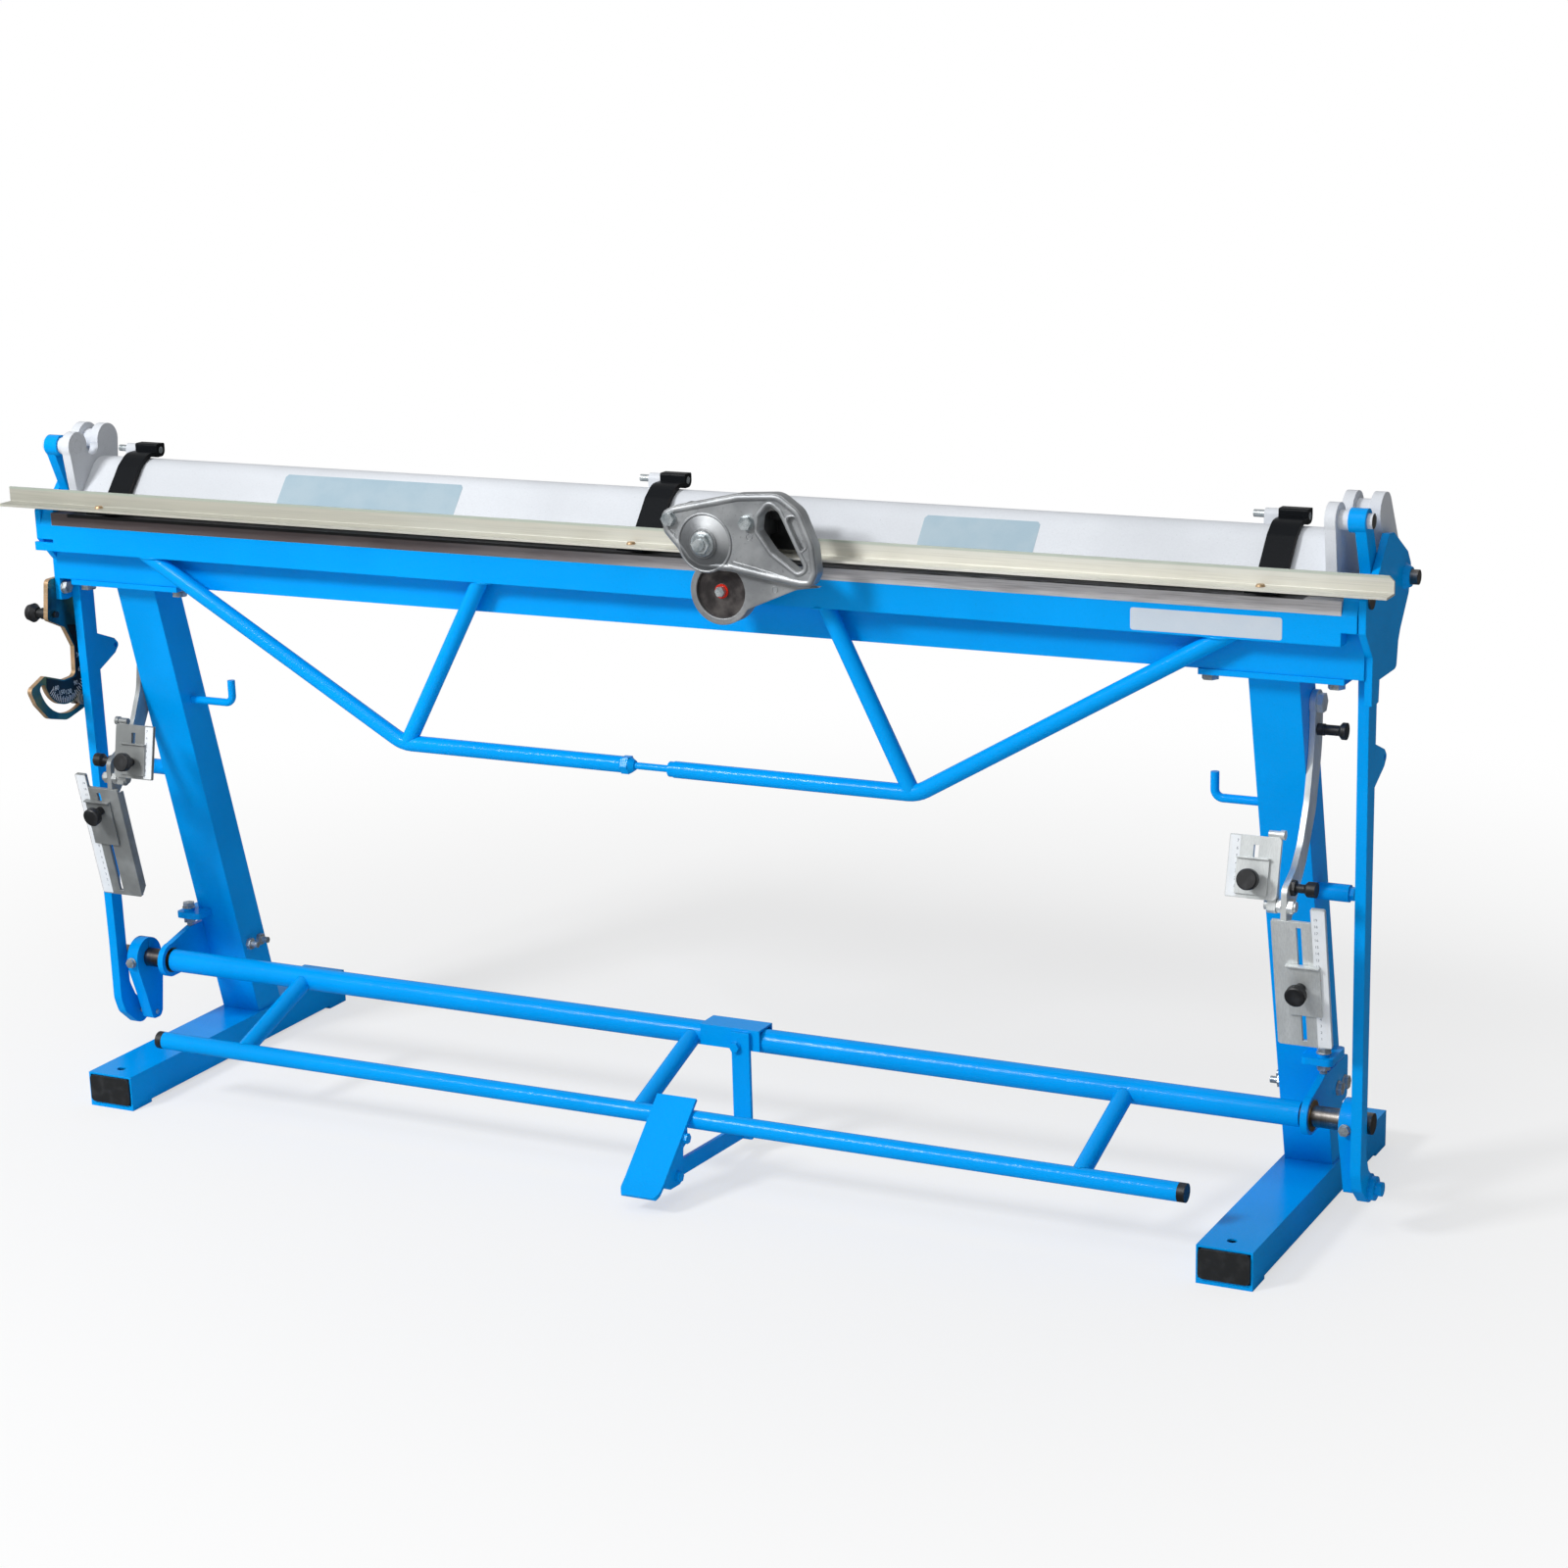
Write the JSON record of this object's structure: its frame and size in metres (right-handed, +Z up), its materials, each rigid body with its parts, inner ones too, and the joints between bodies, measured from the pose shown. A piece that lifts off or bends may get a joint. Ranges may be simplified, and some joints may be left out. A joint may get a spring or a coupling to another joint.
{
  "type": "sheet metal folding machine",
  "caption": "Foot-clamped sheet metal folding machine with clamping beam, trussed folding leaf, pedal linkage, roller shear on a swing-away rail, angle stop and side gauges.",
  "frame": {"origin": "centre of the four floor bolt holes, on the floor under the middle of the machine", "axes": "+X runs to the right along the bending edge as the operator sees it, -Y points to the operator, +Z is up"},
  "size_m": [2.192, 0.6744, 1.034],
  "materials": {
    "blue_paint": "gloss orange-peel enamel",
    "white_paint": "gloss orange-peel enamel",
    "black_paint": "satin",
    "black_plastic": "matte moulded",
    "black_rubber": "matte",
    "bare_steel": "ground and oiled",
    "zinc_plated_steel": "bright zinc plating",
    "passivated_steel": "pale yellow passivated zinc",
    "cast_aluminium": "sand cast, satin",
    "dark_tool_steel": "hardened, dark",
    "bronze": "turned"
  },
  "bodies": {
    "stand": {"left_foot": "blue_paint", "right_foot": "blue_paint", "foot_caps_and_pads": "black_rubber", "left_leg": "blue_paint", "right_leg": "blue_paint", "stand_bolts": "zinc_plated_steel", "lower_beam": "blue_paint", "lower_front_plate": "blue_paint", "lower_jaw_bar": "blue_paint", "left_side_plate": "blue_paint", "right_side_plate": "blue_paint", "pivot_pins": "bare_steel", "bearing_plates": "blue_paint", "bearing_bushes": "bronze", "angle_plate": "passivated_steel", "leg_hooks_and_posts": "blue_paint"},
    "leaf": {"folding_leaf": "blue_paint", "leaf_steel_strip": "bare_steel", "truss_tubes": "blue_paint", "turnbuckle": "blue_paint"},
    "upper_jaw": {"upper_beam_tube": "white_paint", "upper_front_plate": "white_paint", "clamping_blade": "black_paint", "arm_hinge_bosses": "white_paint", "inner_end_plates": "white_paint", "outer_end_plates": "white_paint", "link_pins_and_spacers": "bare_steel"},
    "swing_rail": {"rail_arms": "black_paint", "arm_hinge_blocks": "black_paint", "shear_rail": "passivated_steel", "rail_screws": "zinc_plated_steel"},
    "carriage": {"carriage_casting": "cast_aluminium", "cutter_housing": "cast_aluminium", "carriage_guides": "black_plastic", "carriage_bolts": "zinc_plated_steel"},
    "upper_cutter": {"upper_cutter": "dark_tool_steel"},
    "lower_cutter": {"lower_cutter": "dark_tool_steel"},
    "torsion": {"torsion_tube": "blue_paint", "cranks": "blue_paint", "foot_bar": "blue_paint", "foot_bar_arms": "blue_paint", "pedal_bracket": "blue_paint", "pedal_plate": "blue_paint"},
    "left_link": {"left_link": "blue_paint"},
    "right_link": {"right_link": "blue_paint"},
    "stop_pin": {"stop_pin": "zinc_plated_steel"},
    "index_knob": {"index_knob": "black_plastic"},
    "left_gauge": {"left_gauge_arm": "zinc_plated_steel", "left_gauge_plates": "zinc_plated_steel"},
    "right_gauge": {"right_gauge_arm": "zinc_plated_steel", "right_gauge_plates": "zinc_plated_steel"},
    "gauge_plunger": {"right_gauge_plunger": "black_plastic"},
    "left_slider": {"left_gauge_slider": "zinc_plated_steel"},
    "right_slider": {"right_gauge_slider": "zinc_plated_steel"},
    "left_small_slider": {"left_small_slider": "zinc_plated_steel"},
    "right_small_slider": {"right_small_slider": "zinc_plated_steel"},
    "left_small_knob": {"left_small_knob": "black_plastic"},
    "right_small_knob": {"right_small_knob": "black_plastic"},
    "left_slider_knob": {"left_slider_knob": "black_plastic"},
    "right_slider_knob": {"right_slider_knob": "black_plastic"}
  },
  "joints": [
    {"name": "jaw_open", "type": "hinge", "parent": "stand", "child": "upper_jaw", "pos_m": [0, -0.012, 0.914], "axis": [-1, 0, 0], "range_deg": [0, 22.3]},
    {"name": "torsion_turn", "type": "hinge", "parent": "stand", "child": "torsion", "pos_m": [0, -0.07, 0.172], "axis": [-1, 0, 0], "range_deg": [0, 60]},
    {"name": "left_link_swing", "type": "hinge", "parent": "upper_jaw", "child": "left_link", "pos_m": [-1.03, -0.145, 1.009], "axis": [1, 0, 0], "range_deg": [0, 14.3]},
    {"name": "right_link_swing", "type": "hinge", "parent": "upper_jaw", "child": "right_link", "pos_m": [1.03, -0.145, 1.009], "axis": [1, 0, 0], "range_deg": [0, 14.3]},
    {"name": "leaf_fold", "type": "hinge", "parent": "stand", "child": "leaf", "pos_m": [0, -0.165, 0.912], "axis": [-1, 0, 0], "range_deg": [0, 125]},
    {"name": "rail_swing", "type": "hinge", "parent": "upper_jaw", "child": "swing_rail", "pos_m": [0, -0.06529, 0.996], "axis": [-1, 0, 0], "range_deg": [0, 100]},
    {"name": "carriage_slide", "type": "slide", "parent": "swing_rail", "child": "carriage", "axis": [1, 0, 0], "range_m": [-1.14, 0.74]},
    {"name": "upper_cutter_spin", "type": "hinge", "parent": "carriage", "child": "upper_cutter", "pos_m": [0.15, -0.24, 0.949], "axis": [0, 1, 0], "continuous": true},
    {"name": "lower_cutter_spin", "type": "hinge", "parent": "carriage", "child": "lower_cutter", "pos_m": [0.164, -0.24, 0.88], "axis": [0, 1, 0], "continuous": true},
    {"name": "stop_pin_swing", "type": "hinge", "parent": "stand", "child": "stop_pin", "pos_m": [-1.056, -0.145, 0.656], "axis": [-1, 0, 0], "range_deg": [0, 103]},
    {"name": "index_knob_pull", "type": "slide", "parent": "stand", "child": "index_knob", "axis": [-1, 0, 0], "range_m": [0, 0.008], "stiffness_N_per_m": 900},
    {"name": "left_gauge_swing", "type": "hinge", "parent": "stand", "child": "left_gauge", "pos_m": [-0.953, -0.072, 0.751], "axis": [-1, 0, 0], "range_deg": [0, 76]},
    {"name": "right_gauge_swing", "type": "hinge", "parent": "stand", "child": "right_gauge", "pos_m": [0.953, -0.072, 0.751], "axis": [-1, 0, 0], "range_deg": [0, 76]},
    {"name": "gauge_plunger_pull", "type": "slide", "parent": "right_gauge", "child": "gauge_plunger", "axis": [1, 0, 0], "range_m": [0, 0.008], "stiffness_N_per_m": 900},
    {"name": "left_slider_slide", "type": "slide", "parent": "left_gauge", "child": "left_slider", "axis": [0, -0.2164, 0.9763], "range_m": [-0.085, 0.02]},
    {"name": "left_slider_knob_turn", "type": "hinge", "parent": "left_slider", "child": "left_slider_knob", "pos_m": [-0.978, -0.1805, 0.44551], "axis": [0, -0.9763, -0.2164], "continuous": true},
    {"name": "left_small_slider_slide", "type": "slide", "parent": "left_gauge", "child": "left_small_slider", "axis": [0, 0.1977, 0.9803], "range_m": [-0.005, 0.028]},
    {"name": "left_small_knob_turn", "type": "hinge", "parent": "left_small_slider", "child": "left_small_knob", "pos_m": [-0.908, -0.1851, 0.53114], "axis": [0, -0.9803, 0.1977], "continuous": true},
    {"name": "right_slider_slide", "type": "slide", "parent": "right_gauge", "child": "right_slider", "axis": [0, -0.2164, 0.9763], "range_m": [-0.04, 0.07]},
    {"name": "right_slider_knob_turn", "type": "hinge", "parent": "right_slider", "child": "right_slider_knob", "pos_m": [0.9735, -0.17673, 0.38991], "axis": [0, -0.9763, -0.2164], "continuous": true},
    {"name": "right_small_slider_slide", "type": "slide", "parent": "right_gauge", "child": "right_small_slider", "axis": [0, 0.247, 0.969], "range_m": [-0.005, 0.028]},
    {"name": "right_small_knob_turn", "type": "hinge", "parent": "right_small_slider", "child": "right_small_knob", "pos_m": [0.9105, -0.19368, 0.53701], "axis": [0, -0.969, 0.247], "continuous": true}
  ],
  "couplings": [
    {"joint": "torsion_turn", "follows": "jaw_open", "ratio": 2.6868},
    {"joint": "left_link_swing", "follows": "jaw_open", "ratio": 0.6348},
    {"joint": "right_link_swing", "follows": "jaw_open", "ratio": 0.6348},
    {"joint": "rail_swing", "follows": "leaf_fold", "ratio": 0.8}
  ]
}
